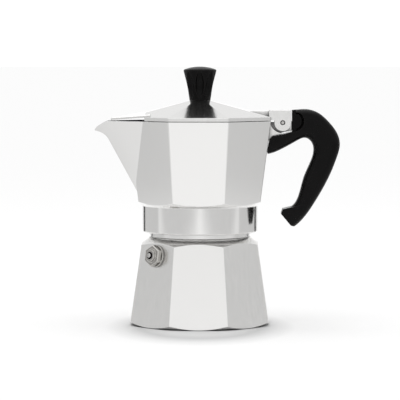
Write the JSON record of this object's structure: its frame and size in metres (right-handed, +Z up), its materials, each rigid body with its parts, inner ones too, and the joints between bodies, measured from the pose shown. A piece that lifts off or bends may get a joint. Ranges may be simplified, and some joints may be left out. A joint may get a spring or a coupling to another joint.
{
  "type": "moka pot",
  "caption": "Octagonal aluminium stove-top coffee pot with screw-on spouted collector, hinged lid, black knob and handle, and a side safety valve.",
  "frame": {"origin": "centre of the boiler's flat underside, on the pot's axis", "axes": "+Z up the pot's axis, +X towards the handle, -X towards the spout, -Y towards the front facet"},
  "size_m": [0.153, 0.0884, 0.161],
  "materials": {
    "cast_aluminium": "satin polished casting",
    "sheet_aluminium": "spun sheet",
    "black_plastic": "moulded phenolic, satin",
    "valve_metal": "nickel plate",
    "steel": "drawn steel",
    "insert_brass": "turned",
    "seal_rubber": "matt white rubber"
  },
  "bodies": {
    "base": {"boiler": "cast_aluminium", "valve_washer": "valve_metal", "valve_body": "valve_metal", "valve_cap": "valve_metal", "valve_spring": "steel"},
    "valve_poppet": {"valve_pin": "steel", "valve_seal": "seal_rubber"},
    "funnel": {"funnel_basket": "sheet_aluminium", "funnel_tube": "sheet_aluminium", "funnel_screen": "sheet_aluminium"},
    "seal": {"gasket": "seal_rubber", "filter_plate": "sheet_aluminium"},
    "upper": {"collector": "cast_aluminium", "coffee_column": "cast_aluminium", "handle": "black_plastic", "handle_screw": "steel", "hinge_pin": "steel"},
    "cover": {"lid": "cast_aluminium", "knob": "black_plastic", "knob_insert": "insert_brass", "knob_screw": "steel", "knob_washer": "steel"}
  },
  "joints": [
    {"name": "collector_lift", "type": "slide", "parent": "base", "child": "seal", "axis": [0, 0, 1], "range_m": [0, 0.009]},
    {"name": "collector_turn", "type": "hinge", "parent": "seal", "child": "upper", "pos_m": [0, 0, 0], "axis": [0, 0, 1], "range_deg": [0, 1080]},
    {"name": "funnel_lift", "type": "slide", "parent": "base", "child": "funnel", "axis": [0, 0, 1], "range_m": [0, 0.006]},
    {"name": "lid_hinge", "type": "hinge", "parent": "upper", "child": "cover", "pos_m": [0.0516, 0, 0.1261], "axis": [0, 1, 0], "range_deg": [0, 90]},
    {"name": "valve_release", "type": "slide", "parent": "base", "child": "valve_poppet", "axis": [-0.7001, -0.7001, 0.1406], "range_m": [0, 0.0015], "stiffness_N_per_m": 800, "springref_m": -0.003, "deforming": ["valve_spring"]}
  ],
  "couplings": [
    {"joint": "collector_lift", "follows": "collector_turn", "m_per_rad": 0.00047746},
    {"joint": "funnel_lift", "follows": "collector_turn", "m_per_rad": 0.00031831}
  ]
}
